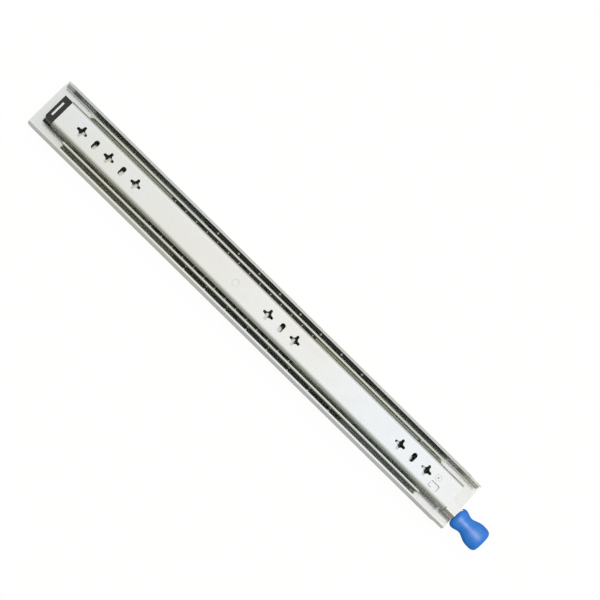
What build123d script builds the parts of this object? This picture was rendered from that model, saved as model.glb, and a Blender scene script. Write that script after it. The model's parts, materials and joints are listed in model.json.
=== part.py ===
from build123d import *
import math
import os

# Heavy-duty three-section ball-bearing drawer slide with a front lock lever, closed.
# Millimetres. X runs along the travel towards the front, Y across the slide and Z from the
# cabinet wall to the drawer. The origin is the centre of the cabinet member's back face.

os.makedirs("parts", exist_ok=True)

# Overall size
cabinet_length = 504.0
slide_width = 53.0
slide_depth = 19.0

# How far the other two members stand back from the ends of the cabinet member
intermediate_front_setback = 39.0
intermediate_rear_setback = 35.0
drawer_front_setback = 13.3
drawer_rear_setback = 17.3

# Travel of the intermediate member on the cabinet member, and of the drawer member on that
intermediate_travel = 240.0
drawer_travel = 235.0

# Sheet thicknesses
cabinet_sheet = 1.8
intermediate_sheet = 2.0
drawer_sheet = 1.8
lever_sheet = 2.0
spring_sheet = 0.6

# Balls, and the races rolled into the leaning flanges
outer_ball = 5.0
inner_ball = 4.0
outer_ball_count = 8
inner_ball_count = 14
outer_ball_pitch = 25.0
inner_ball_pitch = 12.8
outer_ball_height = 9.6
ball_row_gap = 0.3
race_clearance = 0.15
flange_lean = 17.0
neck_lean = 26.0

# Ball cages
outer_cage_thickness = 1.8
inner_cage_thickness = 1.8
outer_cage_below = 3.0
outer_cage_above = 2.4
inner_cage_below = 2.6
inner_cage_above = 2.0
inner_cage_shift = 0.1
outer_cage_end = 14.0
inner_cage_end = 3.8
pocket_clearance = 0.1
cage_notch = 3.4
cage_notch_floor = -0.8
cage_ear = 0.35
cage_ear_length = 7.2
cage_ear_setback = 0.5

# Bends, edges and clearances
web_bend = 1.9
shoulder_bend = 3.3
cabinet_lip = 16.0
intermediate_lip = 16.2
intermediate_lip_round = 1.4
intermediate_floor = 4.5
drawer_lip_drop = 3.2
rim_round = 0.4
running_clearance = 0.3

# Screw holes on the 32 mm furniture grid: star holes for any screw and cross slots between them
hole_pitch = 32.0
cabinet_first_hole = 38.0
drawer_first_hole = 34.0
hole_end_margin = 22.0
star_length = 11.2
star_arm = 2.6
star_waist_round = 2.4
slot_length = 9.2
slot_width = 4.6

# Ends of the cabinet member: flanges cut back and pinched in, with a stop dimple in front
flange_end_setback = 2.0
pinch_length = 11.0
pinch_run = 4.0
rear_pinch_run = 7.5
pinch_lean = 12.0
stop_dimple_setback = 7.5
stop_dimple = 2.4
stop_dimple_tip = 1.2
stop_dimple_hollow = 0.6
stop_dimple_depth = 1.6

# Pressings in the cabinet member's web: the lock catch and the hold-out ramp
catch_press = 2.2
catch_front_setback = 4.5
catch_length = 19.2
catch_step_setback = 13.8
catch_root = -5.6
catch_fold = -0.9
catch_shelf = 1.2
catch_lead_setback = 5.9
catch_lead_far = 5.5
ramp_press = 1.2
ramp_length = 19.6
ramp_base = 9.4
ramp_tip = 3.5
ramp_relief_length = 4.4
ramp_relief_width = 3.7
ramp_tail = 7.7
ramp_tail_width = 1.2

# Rear bumper and the web tongue that holds it
bumper_front_gap = 0.3
bumper_length = 8.5
bumper_width = 26.0
bumper_top_setback = 1.0
bumper_corner = 2.0
bumper_plate = 2.0
bumper_plate_width = 28.0
bumper_fit = 0.15
tongue_setback = 11.1
tongue_root_width = 25.0
tongue_width = 14.8
tongue_shoulder = 5.0
tongue_top_setback = 1.5
window_length = 22.0
clip_width = 19.0
window_bulge = 24.0
window_ear_length = 5.5
window_ear_width = 1.8
window_ear_turn = 45.0
bumper_recess_length = 8.0
bumper_recess_width = 7.0
bumper_recess_depth = 1.0
bumper_hole = 3.4
bead_margin = 4.0
bead_width = 34.0
bead_corner = 5.0
bead_line = 1.0
bead_depth = 0.6

# Intermediate member details
flange_slant = 9.0
crimp_setback = 28.0
crimp_radius = 2.0
crimp_tip = 1.0
crimp_hollow = 0.5
crimp_depth = 2.1
stop_tab_width = 10.0
stop_tab_gap = 0.8

# Hold-out latch under the intermediate member's web
latch_width = 8.0
latch_nose_setback = 13.5
latch_nose_length = 5.5
latch_nose_drop = 0.6
latch_length = 58.0
latch_rivet = 3.0
latch_rivet_head = 5.0
latch_rivet_height = 0.6
latch_rivet_setback = 5.0
latch_rivet_pitch = 10.0

# Drawer member details
hook_side_cut = 14.0
grip_side_cut = 6.0
flange_cut_slant = 4.0
flange_cut_height = 14.2
stop_rivet = 5.0
stop_rivet_head = 6.0
rivet_head_height = 0.8
rivet_fit = 0.05
rivet_head_gap = 0.16
rivet_dimple = 1.8
rivet_dimple_point = 0.45
rivet_dimple_depth = 0.5

# Lock lever, which turns about a rivet in the drawer member
pivot_setback = 21.8
pivot_y = 2.65
pivot_rivet = 4.0
pivot_rivet_head = 5.6
pivot_rivet_tail = 7.4
pivot_rivet_tail_height = 1.2
pivot_washer = 9.0
pivot_washer_thickness = 0.4
lever_play = 0.1
lever_rear = 3.2
lever_rear_gap = 2.6
lever_front_gap = 1.5
neck_top = 2.1
neck_bottom = 11.4
neck_round = 1.5
neck_fold_run = 2.8
neck_fold_drop = 3.0
neck_fold_setback = 1.2
hook_gap = 1.0
hook_width = 2.2
hook_side_gap = 5.2
hook_catch_gap = 0.4
catch_overhang = 1.0
stop_square = 3.4
stop_square_x = -0.8
stop_square_gap = 3.8
window_front = 6.6
window_rear = 3.2
window_width = 6.6
window_gap = 2.6
spring_reach = 8.0
spring_bow = 2.3
spring_gap = 0.3

# Dipped vinyl grip
grip_overlap = 2.7
grip_length = 35.1
grip_base_width = 20.4
grip_base_hollow = 2.4
grip_neck_width = 15.8
grip_end_width = 24.2
grip_above = 3.2
grip_below = 5.6
grip_tip_width = 22.0
grip_neck = 12.6
grip_shoulder = 22.4
grip_base_round = 3.2
grip_waist_round = 13.0
grip_tip_round = 6.5
grip_round = 3.0
grip_lean = 2.0
grip_y = -9.2
handle_width = 11.0
handle_end_gap = 5.0

# Places along the slide
cabinet_front = cabinet_length / 2
cabinet_rear = -cabinet_front
intermediate_front = cabinet_front - intermediate_front_setback
intermediate_rear = cabinet_rear + intermediate_rear_setback
drawer_front = cabinet_front - drawer_front_setback
drawer_rear = cabinet_rear + drawer_rear_setback

# The section, worked from the outside inwards along the middle of each sheet
lean = math.tan(math.radians(flange_lean))
neck = math.tan(math.radians(neck_lean))
outer_race = outer_ball / 2 + race_clearance
inner_race = inner_ball / 2 + race_clearance
cabinet_curve = outer_race + cabinet_sheet / 2
lower_curve = outer_race + intermediate_sheet / 2
upper_curve = inner_race + intermediate_sheet / 2
neck_curve = inner_race + drawer_sheet / 2
lean_rise = math.sin(math.radians(flange_lean))
lean_run = math.cos(math.radians(flange_lean))
inner_ball_height = outer_ball_height + (lower_curve + upper_curve) * lean_rise + ball_row_gap
outer_ball_y = slide_width / 2 - cabinet_sheet - outer_race
cabinet_apex = outer_ball_y + cabinet_curve / lean_run
lower_apex = outer_ball_y - lower_curve / lean_run
upper_apex = lower_apex + (inner_ball_height - outer_ball_height) * lean
inner_ball_y = upper_apex - upper_curve / lean_run
neck_apex = inner_ball_y - neck_curve / math.cos(math.radians(neck_lean))
intermediate_floor_top = intermediate_floor + intermediate_sheet
drawer_under = slide_depth - drawer_sheet
drawer_web = slide_depth - drawer_sheet / 2
cabinet_web_edge = cabinet_apex - (outer_ball_height - cabinet_sheet / 2) * lean

# Lever levels, hung under the drawer member's web
lever_top = drawer_under - pivot_washer_thickness - lever_play
lever_under = lever_top - lever_sheet
shoulder_turn = math.radians(90 + neck_lean)
shoulder_corner = neck_apex + (drawer_web - inner_ball_height) * neck
shoulder_y = shoulder_corner - shoulder_bend * math.tan(shoulder_turn / 2)
shoulder_inside = shoulder_bend - drawer_sheet / 2
shoulder_rise = shoulder_inside - drawer_under + lever_top
lever_room = shoulder_y + math.sqrt(shoulder_inside**2 - shoulder_rise**2)
pivot_x = drawer_front - pivot_setback
hook_far = lever_room - hook_side_gap
spring_y = lever_room - spring_sheet / 2 - spring_gap
lever_boss = spring_y - spring_bow - spring_sheet / 2 - spring_gap - pivot_y

sides = {"upper": 1, "lower": -1}


def grid_holes(front, rear, first, steps):
    # Hole places along X counted back from the front end, as far as the member reaches
    places = [front - first - hole_pitch * step for step in steps]
    return [(x, 0) for x in places if x > rear + hole_end_margin]


cabinet_steps = (0, 1, 7, 8, 12, 13)
cabinet_slot_steps = (0.5, 7.5, 12.5)
drawer_steps = (0, 1, 5, 6, 11, 12, 13)
drawer_slot_steps = (0.5, 5.5, 11.5, 12.5)
cabinet_stars = grid_holes(cabinet_front, cabinet_rear, cabinet_first_hole, cabinet_steps)
cabinet_slots = grid_holes(cabinet_front, cabinet_rear, cabinet_first_hole, cabinet_slot_steps)
drawer_stars = grid_holes(drawer_front, drawer_rear, drawer_first_hole, drawer_steps)
drawer_slots = grid_holes(drawer_front, drawer_rear, drawer_first_hole, drawer_slot_steps)


# Star screw hole: two crossed slots with wide rounds between their arms
with BuildSketch() as star_hole:
    SlotOverall(star_length, star_arm)
    SlotOverall(star_length, star_arm, rotation=90)
    waist = [v for v in star_hole.vertices() if abs(abs(v.X) - abs(v.Y)) < rim_round]
    fillet(waist, radius=star_waist_round)


def channel_section(half, bends, sheet):
    # Section of a rolled channel from the middle line of one half, lip to web corner
    other = [(-y, z) for y, z in reversed(half)]
    with BuildSketch() as section:
        with BuildLine():
            FilletPolyline(*half, *other, radius=[*bends, *reversed(bends)])
        trace(line_width=sheet)
    return section.sketch


def cabinet_half(slope):
    # Half of the cabinet member's section with its flanges leaning at a given slope
    apex = cabinet_web_edge + (outer_ball_height - cabinet_sheet / 2) * slope
    return [
        (apex - (cabinet_lip - outer_ball_height) * slope, cabinet_lip),
        (apex, outer_ball_height),
        (cabinet_web_edge, cabinet_sheet / 2),
    ]


def bumper_window(shrink):
    # Plan of the web window that the bumper clips into: a square with round bulges and ears
    front = tongue_front + window_length - shrink
    rear = tongue_front + shrink
    centre = (front + rear) / 2
    with BuildSketch() as outline:
        with Locations((centre, 0)):
            Rectangle(front - rear, clip_width - 2 * shrink)
            Circle(window_bulge / 2 - shrink)
        for x in (rear + window_ear_width, front - window_ear_width):
            for side in (1, -1):
                turn = window_ear_turn if (x > centre) == (side > 0) else -window_ear_turn
                with Locations((x, side * clip_width / 2)):
                    SlotOverall(
                        window_ear_length - 2 * shrink, window_ear_width - 2 * shrink, rotation=turn
                    )
    return outline.sketch


tongue_front = cabinet_rear + tongue_setback + cabinet_sheet
tongue_rear = tongue_front - cabinet_sheet
latch_nose = intermediate_rear + latch_nose_setback
ramp_front = latch_nose + intermediate_travel - running_clearance
ramp_rear = ramp_front - ramp_length
catch_front = cabinet_front - catch_front_setback
catch_rear = catch_front - catch_length
catch_step = catch_front - catch_step_setback
catch_far = hook_far + catch_overhang

# Hold-out ramp, half sheared out of the web so that it rises towards the front
with BuildPart() as ramp_plan:
    with BuildSketch():
        with BuildLine():
            for side in (1, -1):
                Spline(
                    (ramp_rear, side * ramp_tip / 2),
                    (ramp_front, side * ramp_base / 2),
                    tangents=((1, 0), (1, 0)),
                )
            Line((ramp_rear, -ramp_tip / 2), (ramp_rear, ramp_tip / 2))
            Line((ramp_front, -ramp_base / 2), (ramp_front, ramp_base / 2))
        make_face()
    extrude(amount=slide_depth)

with BuildPart() as ramp:
    with BuildSketch(Plane.XZ.offset(-ramp_base)):
        with BuildLine():
            Polyline(
                (ramp_rear, 0),
                (ramp_front, ramp_press),
                (ramp_front, ramp_press + cabinet_sheet),
                (ramp_rear, cabinet_sheet),
                close=True,
            )
        make_face()
    extrude(amount=2 * ramp_base)
    add(ramp_plan.part, mode=Mode.INTERSECT)

# Lock catch: a step facing the rear and a curved lead-in, on a joggle bent up from the web
with BuildPart() as catch_plan:
    with BuildSketch():
        with BuildLine():
            Polyline(
                (catch_front, catch_fold),
                (catch_front, catch_root),
                (catch_rear, catch_root),
                (catch_rear, catch_fold),
                (catch_step, catch_shelf),
                (catch_step, catch_far),
            )
            ThreePointArc(
                (catch_step, catch_far),
                (catch_front - catch_lead_setback, catch_lead_far),
                (catch_front, catch_fold),
            )
        make_face()
    extrude(amount=slide_depth)

with BuildPart() as catch:
    with BuildSketch(Plane.YZ.offset(catch_rear)):
        with BuildLine():
            FilletPolyline(
                (catch_root - cabinet_sheet, cabinet_sheet / 2),
                (catch_root, cabinet_sheet / 2),
                (catch_fold, catch_press + cabinet_sheet / 2),
                (catch_far, catch_press + cabinet_sheet / 2),
                radius=cabinet_sheet,
            )
        trace(line_width=cabinet_sheet)
    extrude(amount=catch_length)
    with BuildSketch(Plane.XY):
        add(catch_plan.faces().sort_by(Axis.Z)[0])
        with Locations(((catch_front + catch_rear) / 2, catch_root)):
            Rectangle(catch_length, 2 * cabinet_sheet)
    extrude(amount=slide_depth, mode=Mode.INTERSECT)

# Cabinet member: rolled channel that screws to the cabinet wall
bends = [cabinet_curve, web_bend]
cabinet_section = channel_section(cabinet_half(lean), bends, cabinet_sheet)
pinch_slope = math.tan(math.radians(pinch_lean))
pinch_section = channel_section(cabinet_half(pinch_slope), bends, cabinet_sheet)
pinch_rear = cabinet_front - pinch_length
full_front = pinch_rear - pinch_run
full_rear = cabinet_rear + rear_pinch_run

with BuildPart() as cabinet_member:
    with BuildSketch(Plane.YZ.offset(full_rear)):
        add(cabinet_section)
    extrude(amount=full_front - full_rear)
    for full_end, pinched_end in ((full_rear, cabinet_rear), (full_front, pinch_rear)):
        with BuildSketch(Plane.YZ.offset(full_end)):
            add(cabinet_section)
        with BuildSketch(Plane.YZ.offset(pinched_end)):
            add(pinch_section)
        loft()
    with BuildSketch(Plane.YZ.offset(pinch_rear)):
        add(pinch_section)
    extrude(amount=pinch_length)

    # Flange ends cut back from the ends of the web
    with BuildSketch(Plane.XZ.offset(-slide_width / 2)):
        for end in (cabinet_rear, cabinet_front):
            with Locations((end, (cabinet_sheet + slide_depth) / 2)):
                Rectangle(2 * flange_end_setback, slide_depth - cabinet_sheet)
    extrude(amount=slide_width, mode=Mode.SUBTRACT)

    # Screw holes
    with BuildSketch():
        with Locations(*cabinet_stars):
            add(star_hole.sketch)
        with Locations(*cabinet_slots):
            SlotOverall(slot_length, slot_width, rotation=90)
    extrude(amount=cabinet_sheet, mode=Mode.SUBTRACT)

    # Lock catch, and the hold-out ramp with a relief hole behind it and a slit ahead of it
    add([catch_plan.part, ramp_plan.part], mode=Mode.SUBTRACT)
    add([catch.part, ramp.part])
    with BuildSketch():
        with Locations((ramp_rear - ramp_relief_length / 2, 0)):
            Rectangle(ramp_relief_length, ramp_relief_width)
        with Locations((ramp_front + ramp_tail / 2, 0)):
            Rectangle(ramp_tail, ramp_tail_width)
    extrude(amount=cabinet_sheet, mode=Mode.SUBTRACT)

    # Bumper window, and the tongue that was bent up out of it
    with BuildSketch():
        add(bumper_window(0))
    extrude(amount=cabinet_sheet, mode=Mode.SUBTRACT)
    with BuildSketch(Plane.YZ.offset(tongue_rear)):
        with Locations((0, tongue_shoulder / 2)):
            Rectangle(tongue_root_width, tongue_shoulder)
        tongue_top = slide_depth - tongue_top_setback
        with Locations((0, tongue_top / 2)):
            Rectangle(tongue_width, tongue_top)
    extrude(amount=cabinet_sheet)

    # Bead pressed round the bumper
    bead_front = tongue_front + window_length + bead_margin
    bead_rear = tongue_rear - bead_margin
    for level, mode in ((0, Mode.SUBTRACT), (cabinet_sheet, Mode.ADD)):
        with BuildSketch(Plane.XY.offset(level)):
            with Locations(((bead_front + bead_rear) / 2, 0)):
                RectangleRounded(bead_front - bead_rear, bead_width, bead_corner)
                RectangleRounded(
                    bead_front - bead_rear - 2 * bead_line,
                    bead_width - 2 * bead_line,
                    bead_corner - bead_line,
                    mode=Mode.SUBTRACT,
                )
        extrude(amount=bead_depth, mode=mode)

    # Dimples that stop the outer cages at the front
    pinch_wall = cabinet_half(pinch_slope)[1][0]
    for side in sides.values():
        wall = Plane(
            (cabinet_front - stop_dimple_setback, side * pinch_wall, outer_ball_height),
            z_dir=(0, -side, 0),
        )
        with BuildSketch(wall):
            Circle(stop_dimple)
        with BuildSketch(wall.offset(stop_dimple_depth + cabinet_sheet / 2)):
            Circle(stop_dimple_tip)
        loft()
        with BuildSketch(wall.offset(-cabinet_sheet)):
            Circle(stop_dimple)
        with BuildSketch(wall.offset(stop_dimple_depth - cabinet_sheet / 2)):
            Circle(stop_dimple_hollow)
        loft(mode=Mode.SUBTRACT)

# Rear bumper, moulded round the tongue and clipped into the web window
bumper_front = drawer_rear - bumper_front_gap
bumper_rear = bumper_front - bumper_length
window_front_x = tongue_front + window_length

with BuildPart() as rear_bumper:
    with BuildSketch(Plane.XY.offset(cabinet_sheet)) as block_plan:
        with Locations(((bumper_front + bumper_rear) / 2, 0)):
            Rectangle(bumper_length, bumper_width)
        corner = block_plan.vertices().sort_by(Axis.X)[:2].sort_by(Axis.Y)[0]
        chamfer(corner, length=bumper_corner)
    extrude(amount=slide_depth - bumper_top_setback - cabinet_sheet)
    with BuildSketch(Plane.XY.offset(cabinet_sheet)):
        with Locations(((bumper_rear + window_front_x) / 2, 0)):
            Rectangle(window_front_x - bumper_rear, bumper_plate_width)
    extrude(amount=bumper_plate)
    with BuildSketch():
        add(bumper_window(bumper_fit))
    extrude(amount=cabinet_sheet)
    with BuildSketch(Plane.YZ.offset(tongue_rear - bumper_fit)):
        with Locations((0, tongue_shoulder / 2)):
            Rectangle(tongue_root_width + 2 * bumper_fit, tongue_shoulder + 2 * bumper_fit)
        with Locations((0, slide_depth / 2)):
            Rectangle(tongue_width + 2 * bumper_fit, slide_depth)
    extrude(amount=cabinet_sheet + 2 * bumper_fit, mode=Mode.SUBTRACT)
    with BuildSketch():
        with Locations((tongue_front + window_length / 2, 0)):
            Rectangle(bumper_recess_length, bumper_recess_width)
    extrude(amount=bumper_recess_depth, mode=Mode.SUBTRACT)
    with BuildSketch():
        with Locations((tongue_front + window_length / 2, 0)):
            Circle(bumper_hole / 2)
    extrude(amount=slide_depth, mode=Mode.SUBTRACT)

# Intermediate member: rolled channel, outer races below and inner races above on each flange
intermediate_web = intermediate_floor + intermediate_sheet / 2
intermediate_section = channel_section(
    [
        (upper_apex - (intermediate_lip - inner_ball_height) * lean, intermediate_lip),
        (upper_apex, inner_ball_height),
        (lower_apex, outer_ball_height),
        (lower_apex + (outer_ball_height - intermediate_web) * lean, intermediate_web),
    ],
    [upper_curve, lower_curve, web_bend],
    intermediate_sheet,
)
rivet_front = latch_nose + latch_length - latch_rivet_setback
rivet_places = [(rivet_front, 0), (rivet_front - latch_rivet_pitch, 0)]
stop_tab_top = lever_under - pivot_rivet_tail_height - stop_tab_gap

with BuildPart() as intermediate_member:
    with BuildSketch(Plane.YZ.offset(intermediate_rear)):
        add(intermediate_section)
    extrude(amount=intermediate_front - intermediate_rear)
    lips = intermediate_member.edges().filter_by(Axis.X).group_by(Axis.Z)[-1]
    fillet(lips, radius=intermediate_lip_round)

    # Flange ends slant back towards the web
    with BuildSketch(Plane.XZ.offset(-slide_width / 2)):
        for end, inward in ((intermediate_rear, 1), (intermediate_front, -1)):
            with BuildLine():
                Polyline(
                    (end, intermediate_floor_top),
                    (end + inward * flange_slant, intermediate_floor_top),
                    (end, intermediate_lip),
                    close=True,
                )
            make_face()
    extrude(amount=slide_width, mode=Mode.SUBTRACT)

    # Crimps that stop the inner cages at the front
    for side in sides.values():
        wall = Plane(
            (intermediate_front - crimp_setback, side * upper_apex, inner_ball_height),
            z_dir=(0, -side, 0),
        )
        with BuildSketch(wall):
            Circle(crimp_radius)
        with BuildSketch(wall.offset(intermediate_sheet / 2 + crimp_depth)):
            Circle(crimp_tip)
        loft()
        with BuildSketch(wall.offset(-intermediate_sheet)):
            Circle(crimp_radius)
        with BuildSketch(wall.offset(crimp_depth - intermediate_sheet / 2)):
            Circle(crimp_hollow)
        loft(mode=Mode.SUBTRACT)

    # Tab bent up at the front, which the drawer member's stop rivet meets
    with BuildSketch(Plane.YZ.offset(intermediate_front - intermediate_sheet)):
        with Locations((0, (intermediate_floor + stop_tab_top) / 2)):
            Rectangle(stop_tab_width, stop_tab_top - intermediate_floor)
    extrude(amount=intermediate_sheet)

    # Holes for the latch rivets
    with BuildSketch(Plane.XY.offset(intermediate_floor)):
        with Locations(*rivet_places):
            Circle(latch_rivet / 2)
    extrude(amount=intermediate_sheet, mode=Mode.SUBTRACT)

# Hold-out latch: spring leaf riveted under the web, its nose to the rear
leaf_level = intermediate_floor - spring_sheet / 2
with BuildPart() as intermediate_latch:
    with BuildSketch(Plane.XZ.offset(-latch_width / 2)):
        with BuildLine():
            FilletPolyline(
                (latch_nose, leaf_level - latch_nose_drop),
                (latch_nose + latch_nose_length, leaf_level),
                (latch_nose + latch_length, leaf_level),
                radius=latch_nose_length,
            )
        trace(line_width=spring_sheet)
    extrude(amount=latch_width)
    with BuildSketch(Plane.XY.offset(intermediate_floor)):
        with Locations(*rivet_places):
            Circle(latch_rivet / 2)
    extrude(amount=-spring_sheet, mode=Mode.SUBTRACT)

with BuildPart() as latch_rivets:
    for level, diameter, height in (
        (intermediate_floor - spring_sheet, latch_rivet, intermediate_sheet + spring_sheet),
        (intermediate_floor_top, latch_rivet_head, latch_rivet_height),
        (intermediate_floor - spring_sheet, latch_rivet_head, -latch_rivet_height),
    ):
        with BuildSketch(Plane.XY.offset(level)):
            with Locations(*rivet_places):
                Circle(diameter / 2)
        extrude(amount=height)


def cage_and_balls(side, row):
    # Moulded strip with a pocket open to the drawer side for each ball, and its loose balls; the
    # inner strip also has an ear at each ball and a notch between every other pair
    cage_y = row["y"] + row["shift"]
    place = (row["rear"], side * cage_y + row["thickness"] / 2, row["height"])
    balls = [row["end"] + row["pitch"] * i for i in range(row["count"])]
    length = balls[-1] + row["end"]
    with BuildPart() as cage:
        with BuildSketch(Plane(place, x_dir=(1, 0, 0), z_dir=(0, -1, 0))):
            with Locations((length / 2, (row["above"] - row["below"]) / 2)):
                Rectangle(length, row["above"] + row["below"])
            with Locations(*[(x, 0) for x in balls]):
                Circle(row["ball"] / 2 + pocket_clearance, mode=Mode.SUBTRACT)
            if row["ear"]:
                with Locations(*[(x + row["pitch"] / 2, row["above"]) for x in balls[:-1:2]]):
                    Rectangle(
                        cage_notch, 2 * (row["above"] - cage_notch_floor), mode=Mode.SUBTRACT
                    )
        extrude(amount=row["thickness"])
        if row["ear"]:
            ear_place = (row["rear"], side * (cage_y + row["thickness"] / 2), row["height"])
            with BuildSketch(Plane(ear_place, x_dir=(1, 0, 0), z_dir=(0, -1, 0))):
                with Locations(*[(x, (row["above"] - cage_ear_setback) / 2) for x in balls]):
                    Rectangle(cage_ear_length, row["above"] - cage_ear_setback)
                with Locations(*[(x, 0) for x in balls]):
                    Circle(row["ball"] / 2 + pocket_clearance, mode=Mode.SUBTRACT)
            extrude(amount=-side * row["ear"])
    with BuildPart() as loose:
        with Locations(*[(row["rear"] + x, side * row["y"], row["height"]) for x in balls]):
            Sphere(row["ball"] / 2)
    return cage.part, loose.part


# Outer cages run half as far as the intermediate member and end short of the dimples; inner
# cages end level with the drawer member's rear end at full travel
outer_cage_length = (outer_ball_count - 1) * outer_ball_pitch + 2 * outer_cage_end
outer_cage_limit = cabinet_front - stop_dimple_setback - stop_dimple - running_clearance
rows = {
    "outer": {
        "rear": outer_cage_limit - intermediate_travel / 2 - outer_cage_length,
        "y": outer_ball_y,
        "shift": 0,
        "height": outer_ball_height,
        "thickness": outer_cage_thickness,
        "below": outer_cage_below,
        "above": outer_cage_above,
        "count": outer_ball_count,
        "pitch": outer_ball_pitch,
        "end": outer_cage_end,
        "ball": outer_ball,
        "ear": 0,
    },
    "inner": {
        "rear": drawer_rear + drawer_travel / 2 + running_clearance,
        "y": inner_ball_y,
        "shift": inner_cage_shift,
        "height": inner_ball_height,
        "thickness": inner_cage_thickness,
        "below": inner_cage_below,
        "above": inner_cage_above,
        "count": inner_ball_count,
        "pitch": inner_ball_pitch,
        "end": inner_cage_end,
        "ball": inner_ball,
        "ear": cage_ear,
    },
}
for row_name, row in rows.items():
    for side_name, side in sides.items():
        cage_part, ball_part = cage_and_balls(side, row)
        cage_part.label = f"{row_name}_cage_{side_name}"
        ball_part.label = f"{row_name}_balls_{side_name}"
        export_step(cage_part, f"parts/{cage_part.label}.step")
        export_step(ball_part, f"parts/{ball_part.label}.step")

# Drawer member: channel with necked flanges, whose web screws to the drawer
stop_rivet_x = (
    intermediate_front - intermediate_sheet - stop_rivet / 2 - running_clearance - drawer_travel
)
drawer_section = channel_section(
    [
        (neck_apex + drawer_lip_drop * neck, inner_ball_height - drawer_lip_drop),
        (neck_apex, inner_ball_height),
        (shoulder_corner, drawer_web),
    ],
    [neck_curve, shoulder_bend],
    drawer_sheet,
)

with BuildPart() as drawer_member:
    with BuildSketch(Plane.YZ.offset(drawer_rear)):
        add(drawer_section)
    extrude(amount=drawer_front - drawer_rear)

    # Flanges cut away at the front, further back on the side where the lever's hook swings
    for cut, depth in ((hook_side_cut, -slide_width / 2), (grip_side_cut, slide_width / 2)):
        with BuildSketch(Plane.XZ):
            with BuildLine():
                Polyline(
                    (drawer_front, 0),
                    (drawer_front, flange_cut_height),
                    (drawer_front - cut + flange_cut_slant, flange_cut_height),
                    (drawer_front - cut, 0),
                    close=True,
                )
            make_face()
        extrude(amount=depth, mode=Mode.SUBTRACT)

    # Screw holes
    with BuildSketch(Plane.XY.offset(drawer_under)):
        with Locations(*drawer_stars):
            add(star_hole.sketch)
        with Locations(*drawer_slots):
            SlotOverall(slot_length, slot_width, rotation=90)
    extrude(amount=drawer_sheet, mode=Mode.SUBTRACT)

    # Window for the lever's stop square
    with BuildSketch(Plane.XY.offset(drawer_under)):
        with Locations(
            (
                pivot_x + (window_front - window_rear) / 2,
                window_width / 2 + window_gap - lever_room,
            )
        ):
            RectangleRounded(window_front + window_rear, window_width, neck_round)
    extrude(amount=drawer_sheet, mode=Mode.SUBTRACT)

    # Rivet holes, sunk for flush heads
    for place, shank, head in (
        ((pivot_x, pivot_y), pivot_rivet, pivot_rivet_head),
        ((stop_rivet_x, 0), stop_rivet, stop_rivet_head),
    ):
        with Locations((*place, slide_depth)):
            CounterBoreHole(shank / 2, head / 2 + rivet_head_gap, rivet_head_height, drawer_sheet)

with BuildPart() as drawer_stop_rivet:
    with BuildSketch(Plane.XY.offset(slide_depth)):
        with Locations((stop_rivet_x, 0)):
            Circle(stop_rivet_head / 2)
    extrude(amount=-rivet_head_height)
    with BuildSketch(Plane.XY.offset(slide_depth - rivet_head_height)):
        with Locations((stop_rivet_x, 0)):
            Circle(stop_rivet / 2)
    extrude(amount=intermediate_floor_top + stop_tab_gap - slide_depth + rivet_head_height)

# Pivot rivet of the lever, with the washer that spaces the lever from the web
with BuildPart() as lever_pivot_rivet:
    for level, diameter, height in (
        (slide_depth, pivot_rivet_head, -rivet_head_height),
        (slide_depth, pivot_rivet, lever_under - lever_play - slide_depth),
        (lever_under - lever_play, pivot_rivet_tail, -pivot_rivet_tail_height),
    ):
        with BuildSketch(Plane.XY.offset(level)):
            with Locations((pivot_x, pivot_y)):
                Circle(diameter / 2)
        extrude(amount=height)
    with Locations((pivot_x, pivot_y, slide_depth)):
        CounterSinkHole(rivet_dimple_point / 2, rivet_dimple / 2, depth=rivet_dimple_depth)

with BuildPart() as lever_washer:
    with BuildSketch(Plane.XY.offset(drawer_under)):
        with Locations((pivot_x, pivot_y)):
            Circle(pivot_washer / 2)
            Circle(pivot_rivet / 2, mode=Mode.SUBTRACT)
    extrude(amount=-pivot_washer_thickness)

# Lock lever: flat blade with a hook bent down behind the catch and a stop square bent up
hook_front = catch_step - hook_gap
hook_bottom = catch_press + cabinet_sheet + hook_catch_gap
neck_front = cabinet_front - grip_overlap
neck_end = neck_front + grip_base_hollow + handle_width / 2
handle_front = neck_front + grip_length - handle_end_gap


def handle_outline(width):
    # Rounded end of the blade inside the grip, leaning with it
    start = neck_front + grip_base_hollow
    length = handle_front - start
    with BuildSketch() as outline:
        with Locations(Location((start, grip_y, 0), (0, 0, -grip_lean))):
            with Locations((length / 2, 0)):
                RectangleRounded(length, width, width / 2 - neck_round)
    return outline.sketch


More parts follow.
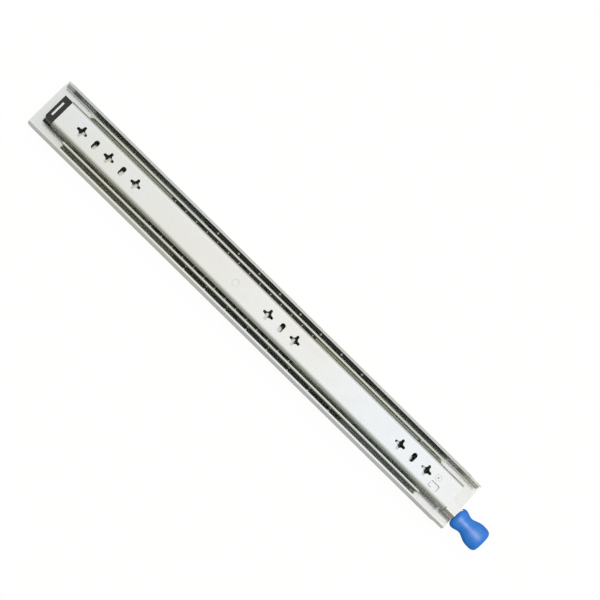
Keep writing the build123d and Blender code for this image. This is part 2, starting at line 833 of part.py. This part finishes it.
with BuildPart() as lock_lever:
    with BuildSketch(Plane.XY.offset(lever_under)) as blade:
        with BuildLine():
            Polyline(
                (pivot_x - lever_rear, pivot_y),
                (pivot_x - lever_rear, lever_rear_gap - lever_room),
                (drawer_front, lever_front_gap - lever_room),
                (neck_end, -neck_bottom),
                (neck_end, -neck_top),
                (drawer_front + hook_far - neck_round, -neck_top),
                (hook_front, hook_far),
                (pivot_x, pivot_y + lever_boss),
                close=True,
            )
        make_face()
        with Locations((pivot_x, pivot_y)):
            Circle(lever_boss)
        add(handle_outline(handle_width))
        with Locations((pivot_x, pivot_y)):
            Circle(pivot_rivet / 2 + rivet_fit, mode=Mode.SUBTRACT)
    extrude(amount=lever_sheet)
    # Outer edge of the neck, folded down ahead of the drawer member
    with BuildSketch(Plane.YZ.offset(drawer_front + neck_fold_setback)):
        with BuildLine():
            Polyline(
                (neck_round - neck_bottom, lever_top),
                (-neck_bottom, lever_top),
                (-neck_bottom - neck_fold_run, lever_top - neck_fold_drop),
                (-neck_bottom - neck_fold_run, lever_under - neck_fold_drop),
                (-neck_bottom, lever_under),
                (neck_round - neck_bottom, lever_under),
                close=True,
            )
        make_face()
    extrude(amount=neck_front + grip_base_hollow - drawer_front - neck_fold_setback)
    with BuildSketch(Plane.XY.offset(hook_bottom)):
        with Locations((hook_front - lever_sheet / 2, hook_far - hook_width / 2)):
            Rectangle(lever_sheet, hook_width)
    extrude(amount=lever_top - hook_bottom)
    with BuildSketch(Plane.XY.offset(lever_under)):
        with Locations((pivot_x + stop_square_x, stop_square_gap + stop_square / 2 - lever_room)):
            Rectangle(stop_square, stop_square)
    extrude(amount=slide_depth - rim_round - lever_under)

# Return spring: bowed strip between the drawer member's flange and the lever's edge
with BuildPart() as lever_spring:
    with BuildSketch(Plane.XY.offset(lever_under)):
        with BuildLine():
            ThreePointArc(
                (pivot_x - spring_reach, spring_y),
                (pivot_x, spring_y - spring_bow),
                (pivot_x + spring_reach, spring_y),
            )
        trace(line_width=spring_sheet)
    extrude(amount=lever_sheet)

# Dipped vinyl grip, waisted, over the end of the blade
with BuildPart() as lever_grip:
    middle = (lever_under + lever_top) / 2
    base = Plane((neck_front, grip_y, middle - grip_below)).rotated((0, 0, -grip_lean))
    with BuildSketch(base):
        with BuildLine():
            half = [
                (0, grip_base_width / 2),
                (grip_neck, grip_neck_width / 2),
                (grip_shoulder, grip_end_width / 2),
                (grip_length, grip_tip_width / 2),
            ]
            half_rounds = [grip_base_round, grip_waist_round, grip_waist_round, grip_tip_round]
            FilletPolyline(
                (grip_base_hollow, 0),
                *half,
                *[(x, -y) for x, y in reversed(half)],
                radius=[grip_waist_round, *half_rounds, *reversed(half_rounds)],
                close=True,
            )
        make_face()
    extrude(amount=grip_below + grip_above)
    fillet(lever_grip.edges().group_by(Axis.Z)[0], radius=grip_round)
    fillet(lever_grip.edges().group_by(Axis.Z)[-1], radius=grip_round)
    add(lock_lever.part, mode=Mode.SUBTRACT)

pieces = {
    "cabinet_member": cabinet_member,
    "rear_bumper": rear_bumper,
    "intermediate_member": intermediate_member,
    "intermediate_latch": intermediate_latch,
    "latch_rivets": latch_rivets,
    "drawer_member": drawer_member,
    "drawer_stop_rivet": drawer_stop_rivet,
    "lever_pivot_rivet": lever_pivot_rivet,
    "lever_washer": lever_washer,
    "lock_lever": lock_lever,
    "lever_spring": lever_spring,
    "lever_grip": lever_grip,
}
for name, piece in pieces.items():
    piece.part.label = name
    export_step(piece.part, f"parts/{name}.step")
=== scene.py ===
import json
import math

import bmesh
import bpy
from mathutils import Matrix, Vector


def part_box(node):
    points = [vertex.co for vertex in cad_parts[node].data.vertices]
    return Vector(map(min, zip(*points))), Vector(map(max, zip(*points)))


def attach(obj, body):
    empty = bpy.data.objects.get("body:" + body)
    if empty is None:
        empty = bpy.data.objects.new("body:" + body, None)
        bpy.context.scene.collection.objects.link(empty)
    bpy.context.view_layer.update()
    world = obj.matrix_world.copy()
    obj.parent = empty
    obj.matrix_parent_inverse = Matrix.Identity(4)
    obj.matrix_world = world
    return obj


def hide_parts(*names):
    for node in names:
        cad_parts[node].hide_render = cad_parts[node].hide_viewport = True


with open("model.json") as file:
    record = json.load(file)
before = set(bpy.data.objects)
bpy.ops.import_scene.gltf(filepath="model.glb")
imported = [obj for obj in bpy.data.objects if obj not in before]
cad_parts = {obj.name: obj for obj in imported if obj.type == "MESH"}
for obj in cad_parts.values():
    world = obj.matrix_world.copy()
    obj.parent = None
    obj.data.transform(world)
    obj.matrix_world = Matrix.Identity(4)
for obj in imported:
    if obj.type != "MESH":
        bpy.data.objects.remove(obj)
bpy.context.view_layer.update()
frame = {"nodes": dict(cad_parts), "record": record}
nodes = frame["nodes"]
print("frame loaded:", len(nodes), "nodes")


def hexColour(code):  # sRGB hex to linear
    channels = [int(code[i : i + 2], 16) / 255 for i in (1, 3, 5)]
    linear = [c / 12.92 if c <= 0.04045 else ((c + 0.055) / 1.055) ** 2.4 for c in channels]
    return (*linear, 1.0)


def addNode(tree, kind, inputs=None, stops=None, **settings):  # a node, its settings and its links
    node = tree.nodes.new(kind)
    for name, value in settings.items():
        setattr(node, name, value)
    for key, value in (inputs or {}).items():
        sockets = value if isinstance(value, list) else [value]
        if isinstance(sockets[0], bpy.types.NodeSocket):
            for socket in sockets:
                tree.links.new(socket, node.inputs[key])
        else:
            node.inputs[key].default_value = value
    if stops:
        elements = node.color_ramp.elements
        elements.remove(elements[1])
        elements[0].position, elements[0].color = stops[0][0], hexColour(stops[0][1])
        for position, code in stops[1:]:
            elements.new(position).color = hexColour(code)
    return node


def newMaterial(name):
    material = bpy.data.materials.new(name)
    material.use_nodes = True
    tree = material.node_tree
    return material, tree, tree.nodes["Principled BSDF"]


def grainOf(tree, sizeMm, stretch=(1, 1, 1), detail=2.0):  # noise whose blobs are sizeMm across
    coords = addNode(tree, "ShaderNodeTexCoord")
    scale = [1000 / (sizeMm * s) for s in stretch]
    place = addNode(tree, "ShaderNodeMapping", {"Vector": coords.outputs["Object"], "Scale": scale})
    noise = addNode(
        tree, "ShaderNodeTexNoise", {"Vector": place.outputs["Vector"], "Scale": 1.0, "Detail": detail}
    )
    return noise.outputs["Fac"]


def finishSurface(tree, shader, grain, finish):  # edges softened by light alone, then fine relief
    edge = addNode(tree, "ShaderNodeBevel", {"Radius": finish["edgeMm"] / 1000}, samples=4)
    relief = {"Height": grain, "Normal": edge.outputs["Normal"]}
    relief.update({"Distance": finish["reliefMm"] / 1000, "Strength": finish["relief"]})
    tree.links.new(addNode(tree, "ShaderNodeBump", relief).outputs["Normal"], shader.inputs["Normal"])


zincSheet = {
    "driftMm": 70,
    "driftRun": 1.6,
    "tints": {
        # The middle member's tints are darker and more olive than the handled ones: painted shade for the
        # member that lies between the others
        "shelteredAndShaded": ["#CDCCC0", "#CBCEC4", "#C9CDC7"],
        "handled": ["#DEDCD8", "#DEDFDE", "#DEE1E4"],
    },
    "tintStops": [0.36, 0.5, 0.62],
    "rollMm": 0.45,
    "rollRun": 180,
    "rollSpan": {"From Min": 0.3, "From Max": 0.7},
    "rollSatin": {"To Min": 0.8, "To Max": 1.2},
    "smudgeMm": 14,
    "smudgeSpan": {"From Min": 0.45, "From Max": 0.75},
    "smudgeSmear": 0.4,
    "roughness": {"shelteredAndShaded": 0.1, "handled": 0.18},
    "metallic": 0.85,
    "edgeMm": 0.15,
    "reliefMm": 0.004,
    "relief": 0.5,
}


def zincPlatedSteel(name, polishAndShade):
    # Bright zinc on cold-rolled sheet: clean silver reflections, a slow cool-to-cream drift of the
    # passivation, whose film scatters a little light into the gaps, and faint handling smudges. The
    # roll lines along the travel are drawn coarser than real ones, so that they show
    material, tree, shader = newMaterial(name)
    drift = grainOf(tree, zincSheet["driftMm"], (zincSheet["driftRun"], 1, 1), 3.0)
    # For the middle member these tints are painted shade, darker and more olive than the handled zinc
    tints = list(zip(zincSheet["tintStops"], zincSheet["tints"][polishAndShade]))
    tint = addNode(tree, "ShaderNodeValToRGB", {"Fac": drift}, tints)
    rollLines = grainOf(tree, zincSheet["rollMm"], (zincSheet["rollRun"], 1, 1), 3.0)
    smudges = grainOf(tree, zincSheet["smudgeMm"])
    rough = zincSheet["roughness"][polishAndShade]
    satin = {"Value": rollLines, **zincSheet["rollSpan"]}
    satin.update({end: share * rough for end, share in zincSheet["rollSatin"].items()})
    smear = {"Value": smudges, **zincSheet["smudgeSpan"], "To Max": zincSheet["smudgeSmear"] * rough}
    roughness = addNode(
        tree,
        "ShaderNodeMath",
        {
            0: addNode(tree, "ShaderNodeMapRange", satin).outputs["Result"],
            1: addNode(tree, "ShaderNodeMapRange", smear).outputs["Result"],
        },
        operation="ADD",
    )
    tree.links.new(tint.outputs["Color"], shader.inputs["Base Color"])
    tree.links.new(roughness.outputs["Value"], shader.inputs["Roughness"])
    shader.inputs["Metallic"].default_value = zincSheet["metallic"]
    finishSurface(tree, shader, rollLines, zincSheet)
    return material


springStrip = {
    "drawMm": 0.3,
    "drawRun": 60,
    "tones": [(0.35, "#A4A8AC"), (0.65, "#B6B9BB")],
    "roughness": 0.24,
    "edgeMm": 0.1,
    "reliefMm": 0.003,
    "relief": 0.5,
}


def springSteel():
    # Bright rolled spring strip: a darker, bluer grey than the plated sheet, drawn along its length
    material, tree, shader = newMaterial("springSteel")
    drawLines = grainOf(tree, springStrip["drawMm"], (springStrip["drawRun"], 1, 1))
    tone = addNode(tree, "ShaderNodeValToRGB", {"Fac": drawLines}, springStrip["tones"])
    tree.links.new(tone.outputs["Color"], shader.inputs["Base Color"])
    shader.inputs["Metallic"].default_value = 1.0
    shader.inputs["Roughness"].default_value = springStrip["roughness"]
    finishSurface(tree, shader, drawLines, springStrip)
    return material


lappedBall = {"filmMm": 1.5, "tones": [(0.35, "#8F9393"), (0.65, "#A4A7A6")], "roughness": 0.14}


def bearingSteel():
    # Ground and lapped ball steel under an oil film: small soft mirrors between the cage pockets
    material, tree, shader = newMaterial("bearingSteel")
    film = grainOf(tree, lappedBall["filmMm"])
    tone = addNode(tree, "ShaderNodeValToRGB", {"Fac": film}, lappedBall["tones"])
    tree.links.new(tone.outputs["Color"], shader.inputs["Base Color"])
    shader.inputs["Metallic"].default_value = 1.0
    shader.inputs["Roughness"].default_value = lappedBall["roughness"]
    return material


mouldedAcetal = {
    "grainMm": 0.5,
    "satin": {"From Min": 0.3, "From Max": 0.7, "To Min": 0.36, "To Max": 0.5},
    "cloudMm": 9,
    "tones": [(0.3, "#15191B"), (0.7, "#1E2223")],
    "edgeMm": 0.3,
    "reliefMm": 0.02,
    "relief": 0.4,
}


def blackAcetal():
    # Moulded black acetal: nearly black with a fine spark-eroded grain and a dull sheen on its edges
    material, tree, shader = newMaterial("blackAcetal")
    grain = grainOf(tree, mouldedAcetal["grainMm"])
    satin = {"Value": grain, **mouldedAcetal["satin"]}
    roughness = addNode(tree, "ShaderNodeMapRange", satin)
    cloud = grainOf(tree, mouldedAcetal["cloudMm"])
    tone = addNode(tree, "ShaderNodeValToRGB", {"Fac": cloud}, mouldedAcetal["tones"])
    tree.links.new(tone.outputs["Color"], shader.inputs["Base Color"])
    tree.links.new(roughness.outputs["Result"], shader.inputs["Roughness"])
    finishSurface(tree, shader, grain, mouldedAcetal)
    return material


vinylDip = {
    "skinMm": 5,
    "tones": [(0.3, "#0868C6"), (0.7, "#0E76D6")],
    "roughness": 0.33,
    "seeThrough": 0.1,
    "seeThroughReach": (0.0004, 0.001, 0.003),
    "edgeMm": 0.2,
    "reliefMm": 0.08,
    "relief": 0.5,
}


def blueVinyl():
    # Plastisol dip: saturated blue, a little see-through at its edges, with a broad waxy sheen
    material, tree, shader = newMaterial("blueVinyl")
    skin = grainOf(tree, vinylDip["skinMm"])
    tone = addNode(tree, "ShaderNodeValToRGB", {"Fac": skin}, vinylDip["tones"])
    tree.links.new(tone.outputs["Color"], shader.inputs["Base Color"])
    shader.inputs["Roughness"].default_value = vinylDip["roughness"]
    shader.inputs["Subsurface Weight"].default_value = vinylDip["seeThrough"]
    shader.inputs["Subsurface Radius"].default_value = vinylDip["seeThroughReach"]
    finishSurface(tree, shader, skin, vinylDip)
    return material


materials = {
    "zinc_steel": zincPlatedSteel("zincPlatedSteel", "handled"),
    "spring_steel": springSteel(),
    "bearing_steel": bearingSteel(),
    "black_plastic": blackAcetal(),
    "blue_vinyl": blueVinyl(),
}
# The middle member is seldom touched, so its zinc is smoother; its creamier, darker, more olive tint is
# painted shade, since it lies between the other members
memberZinc = {"intermediate_member": zincPlatedSteel("shadedShelteredZincSteel", "shelteredAndShaded")}
slotOf = {part["node"]: part["material_slot"] for part in frame["record"]["subparts"]}
for name, node in nodes.items():
    for materialSlot in node.material_slots:
        materialSlot.link = "OBJECT"
        materialSlot.material = memberZinc.get(name, materials[slotOf[name]])
print("materials set:", len(materials))


def addPiece(name, mesh, body, replaced):
    piece = bpy.data.objects.new(name, mesh)
    bpy.context.collection.objects.link(piece)
    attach(piece, body)
    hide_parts(*replaced)
    return piece


# Balls: Geometry Nodes lay two rows of them along the races, one tree for both sizes
ballRows = {"counts": {"outer": 8, "inner": 14}, "segments": 28, "rings": 14}
ballInputs = {
    "Ball Count": "NodeSocketInt",
    "First Ball": "NodeSocketVector",
    "Pitch": "NodeSocketFloat",
    "Row Spacing": "NodeSocketFloat",
    "Ball Diameter": "NodeSocketFloat",
    "Ball Steel": "NodeSocketMaterial",
}


def ballRowTree():
    tree = bpy.data.node_groups.new("ballRows", "GeometryNodeTree")
    tree.interface.new_socket("Geometry", in_out="OUTPUT", socket_type="NodeSocketGeometry")
    for name, kind in ballInputs.items():
        tree.interface.new_socket(name, in_out="INPUT", socket_type=kind)
    sizes = addNode(tree, "NodeGroupInput").outputs
    along = addNode(tree, "ShaderNodeCombineXYZ", {"X": sizes["Pitch"]}).outputs["Vector"]
    across = addNode(tree, "ShaderNodeCombineXYZ", {"Y": sizes["Row Spacing"]}).outputs["Vector"]
    farStart = addNode(tree, "ShaderNodeVectorMath", {0: sizes["First Ball"], 1: across}, operation="ADD")
    rows = []
    for start in (sizes["First Ball"], farStart.outputs["Vector"]):
        line = {"Count": sizes["Ball Count"], "Start Location": start, "Offset": along}
        rows.append(addNode(tree, "GeometryNodeMeshLine", line, mode="OFFSET").outputs["Mesh"])
    both = addNode(tree, "GeometryNodeJoinGeometry", {"Geometry": rows})
    radius = addNode(tree, "ShaderNodeMath", {0: sizes["Ball Diameter"], 1: 0.5}, operation="MULTIPLY")
    facets = {"Segments": ballRows["segments"], "Rings": ballRows["rings"]}
    ball = addNode(tree, "GeometryNodeMeshUVSphere", {**facets, "Radius": radius.outputs["Value"]})
    spread = addNode(
        tree,
        "GeometryNodeInstanceOnPoints",
        {"Points": both.outputs["Geometry"], "Instance": ball.outputs["Mesh"]},
    )
    smooth = addNode(tree, "GeometryNodeSetShadeSmooth", {"Geometry": spread.outputs["Instances"]})
    real = addNode(tree, "GeometryNodeRealizeInstances", {"Geometry": smooth.outputs["Geometry"]})
    steel = addNode(
        tree,
        "GeometryNodeSetMaterial",
        {"Geometry": real.outputs["Geometry"], "Material": sizes["Ball Steel"]},
    )
    addNode(tree, "NodeGroupOutput", {"Geometry": steel.outputs["Geometry"]})
    return tree


ballTree = ballRowTree()
ballSocket = {item.name: item.identifier for item in ballTree.interface.items_tree}
for row, count in ballRows["counts"].items():
    lowest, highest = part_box(row + "_balls_lower")
    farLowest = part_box(row + "_balls_upper")[0]
    diameter = highest[2] - lowest[2]
    settings = {
        "Ball Count": count,
        "First Ball": [lowest[i] + diameter / 2 for i in range(3)],
        "Pitch": (highest[0] - lowest[0] - diameter) / (count - 1),
        "Row Spacing": farLowest[1] - lowest[1],
        "Ball Diameter": diameter,
        "Ball Steel": materials["bearing_steel"],
    }
    maker = bpy.data.objects.new(row + "BallMaker", bpy.data.meshes.new(row + "BallMaker"))
    bpy.context.collection.objects.link(maker)
    modifier = maker.modifiers.new("ballRows", "NODES")
    modifier.node_group = ballTree
    for name, value in settings.items():
        modifier[ballSocket[name]] = value
    evaluated = maker.evaluated_get(bpy.context.evaluated_depsgraph_get())
    ballMesh = bpy.data.meshes.new_from_object(evaluated)
    bpy.data.objects.remove(maker)
    replaced = [row + "_balls_lower", row + "_balls_upper"]
    addPiece(row + "BallRows", ballMesh, row + "_cages", replaced)
    print("balls set:", row, count)

# Grip: a dipped skin with a flared base, a waist and a full round end
grip = {
    "baseHalf": 0.0111,
    "endHalf": 0.0122,
    "waistPlace": 0.37,
    "waistDip": 0.0032,
    "waistSpread": 0.19,
    "waistThin": 0.1,
    "endSquareness": 5.0,
    "crown": 2.0,
    "rings": 72,
    "ringPoints": 64,
    "leanDegrees": -2.0,
    "skinGap": 0.0002,
}


def gripMesh(lowest, highest):
    length = highest[0] - lowest[0] - 2 * grip["skinGap"]
    middle = [(lowest[i] + highest[i]) / 2 for i in range(3)]
    halfThickness = (highest[2] - lowest[2]) / 2 - grip["skinGap"]
    widest = (highest[1] - lowest[1]) / 2 - grip["skinGap"]
    mesh = bmesh.new()
    power = 2 / grip["crown"]
    rings = []
    for ring in range(1, grip["rings"]):
        share = 0.5 - 0.5 * math.cos(math.pi * ring / grip["rings"])
        waist = math.exp(-(((share - grip["waistPlace"]) / grip["waistSpread"]) ** 2))
        ends = (1 - abs(2 * share - 1) ** grip["endSquareness"]) ** (1 / grip["endSquareness"])
        flare = grip["baseHalf"] + (grip["endHalf"] - grip["baseHalf"]) * share
        half = min((flare - grip["waistDip"] * waist) * ends, widest)
        thick = halfThickness * ends * (1 - grip["waistThin"] * waist)
        points = []
        for step in range(grip["ringPoints"]):
            angle = 2 * math.pi * step / grip["ringPoints"]
            y = half * math.copysign(abs(math.cos(angle)) ** power, math.cos(angle))
            z = thick * math.copysign(abs(math.sin(angle)) ** power, math.sin(angle))
            points.append(mesh.verts.new((length * (share - 0.5), y, z)))
        rings.append(points)
    for near, far in zip(rings, rings[1:]):
        for i in range(len(near)):
            j = (i + 1) % len(near)
            mesh.faces.new((near[i], near[j], far[j], far[i]))
    for end, side in ((rings[0], -0.5), (rings[-1], 0.5)):
        tip = mesh.verts.new((length * side, 0, 0))
        for i in range(len(end)):
            mesh.faces.new((end[i], end[(i + 1) % len(end)], tip))
    bmesh.ops.recalc_face_normals(mesh, faces=mesh.faces)
    lean = Matrix.Rotation(math.radians(grip["leanDegrees"]), 4, "Z")
    bmesh.ops.transform(mesh, matrix=Matrix.Translation(middle) @ lean, verts=mesh.verts)
    made = bpy.data.meshes.new("vinylGrip")
    mesh.to_mesh(made)
    mesh.free()
    made.polygons.foreach_set("use_smooth", [True] * len(made.polygons))
    made.materials.append(materials["blue_vinyl"])
    return made


dippedSkin = gripMesh(*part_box("lever_grip"))
vinylGrip = addPiece("vinylGrip", dippedSkin, "lever", ["lever_grip"])
vinylGrip.visible_glossy = False  # keeps its blue out of the plated web beside it
print("grip dipped")


def plainShare(tree, toEye, inSteel):  # how much plain white camera rays and mirrored rays meet
    rays = addNode(tree, "ShaderNodeLightPath").outputs
    seen = addNode(tree, "ShaderNodeMath", {0: rays["Is Camera Ray"], 1: toEye}, operation="MULTIPLY")
    throughSteel = {0: rays["Is Glossy Ray"], 1: rays["Is Transmission Ray"]}
    mirrored = addNode(tree, "ShaderNodeMath", throughSteel, operation="ADD")
    both = {0: mirrored.outputs["Value"], 1: inSteel, 2: seen.outputs["Value"]}
    share = addNode(tree, "ShaderNodeMath", both, operation="MULTIPLY_ADD", use_clamp=True)
    return share.outputs["Value"]


# Floor: pale and plain, white to the eye and in the steel, with a faint contact shadow
floorSizes = {
    "half": 3.0,
    "level": -0.0006,
    "colour": "#DADAD6",
    "roughness": 0.9,
    "white": 0.92,
    "whiteInSteel": 0.2,
    "glow": 1.04,
}
corners = [(-1, -1), (1, -1), (1, 1), (-1, 1)]
floorMesh = bpy.data.meshes.new("floor")
places = [(floorSizes["half"] * x, floorSizes["half"] * y, floorSizes["level"]) for x, y in corners]
floorMesh.from_pydata(places, [], [(0, 1, 2, 3)])
floor = bpy.data.objects.new("floor", floorMesh)
bpy.context.collection.objects.link(floor)
floorMaterial, floorTree, floorShader = newMaterial("paleFloor")
floorShader.inputs["Base Color"].default_value = hexColour(floorSizes["colour"])
floorShader.inputs["Roughness"].default_value = floorSizes["roughness"]
glow = {"Color": (1, 1, 1, 1), "Strength": floorSizes["glow"]}
white = addNode(floorTree, "ShaderNodeEmission", glow)
floorMix = addNode(
    floorTree,
    "ShaderNodeMixShader",
    {
        0: plainShare(floorTree, floorSizes["white"], floorSizes["whiteInSteel"]),
        1: floorShader.outputs["BSDF"],
        2: white.outputs["Emission"],
    },
)
floorTree.links.new(floorMix.outputs["Shader"], floorTree.nodes["Material Output"].inputs["Surface"])
floorMesh.materials.append(floorMaterial)

# World: a studio dome, brightest high up over the front of the slide; white to the eye
dome = {
    "towards": (0.3, 0.4, 0.87),
    "tones": [
        (0.0, "#6A6C5A"),
        (0.27, "#989A89"),
        (0.6, "#BDC0B6"),
        (0.84, "#E0E0DA"),
        (0.9, "#E8E8E4"),
        (0.95, "#FEFEFF"),
        (1.0, "#FFFFFF"),
    ],
    "strength": 1.35,
    "white": 1.0,
    "whiteInSteel": 0.12,
}
world = bpy.data.worlds.new("studio")
bpy.context.scene.world = world
world.use_nodes = True
worldTree = world.node_tree
direction = addNode(worldTree, "ShaderNodeTexCoord").outputs["Generated"]
height = addNode(
    worldTree, "ShaderNodeVectorMath", {0: direction, 1: dome["towards"]}, operation="DOT_PRODUCT"
)
tone = addNode(worldTree, "ShaderNodeValToRGB", {"Fac": height.outputs["Value"]}, dome["tones"])
studio = worldTree.nodes["Background"]
worldTree.links.new(tone.outputs["Color"], studio.inputs["Color"])
studio.inputs["Strength"].default_value = dome["strength"]
plainWhite = addNode(worldTree, "ShaderNodeBackground", {"Color": (1, 1, 1, 1), "Strength": 1.0})
worldMix = addNode(
    worldTree,
    "ShaderNodeMixShader",
    {
        0: plainShare(worldTree, dome["white"], dome["whiteInSteel"]),
        1: studio.outputs["Background"],
        2: plainWhite.outputs["Background"],
    },
)
worldTree.links.new(worldMix.outputs["Shader"], worldTree.nodes["World Output"].inputs["Surface"])

# A small soft box that only the vinyl sees, so its crown catches a sheen
sheenBox = {"place": (0.46, 0.2, 1.18), "target": (0.27, -0.008, 0.019), "side": 0.2, "watts": 4.0}
sheenLight = bpy.data.lights.new("sheenBox", "AREA")
sheenLight.shape = "SQUARE"
sheenLight.size = sheenBox["side"]
sheenLight.energy = sheenBox["watts"]
lamp = bpy.data.objects.new("sheenBox", sheenLight)
bpy.context.collection.objects.link(lamp)
lamp.location = sheenBox["place"]
aim = Vector(sheenBox["target"]) - Vector(sheenBox["place"])
lamp.rotation_euler = aim.to_track_quat("-Z", "Y").to_euler()
vinylOnly = bpy.data.collections.new("vinylOnly")
vinylOnly.objects.link(vinylGrip)
lamp.light_linking.receiver_collection = vinylOnly
print("stage and light set")

# Camera at the photograph's angle, fitted to the screw holes
view = {
    "place": (-0.0434, -0.3352, 1.8272),
    "right": (0.7125, 0.68229, 0.16377),
    "up": (-0.70073, 0.70396, 0.1158),
    "fieldDegrees": 16.0,
    "sensorMm": 36.0,
}
camera = bpy.data.objects.new("camera", bpy.data.cameras.new("camera"))
bpy.context.collection.objects.link(camera)
right = Vector(view["right"]).normalized()
up = Vector(view["up"]).normalized()
turn = Matrix((right, up, right.cross(up).normalized())).transposed().to_4x4()
camera.matrix_world = Matrix.Translation(view["place"]) @ turn
camera.data.sensor_width = view["sensorMm"]
camera.data.lens = view["sensorMm"] / 2 / math.tan(math.radians(view["fieldDegrees"] / 2))
camera.data.clip_start = 0.01
bpy.context.scene.camera = camera
bpy.context.scene.view_settings.view_transform = "Standard"
print("camera set")
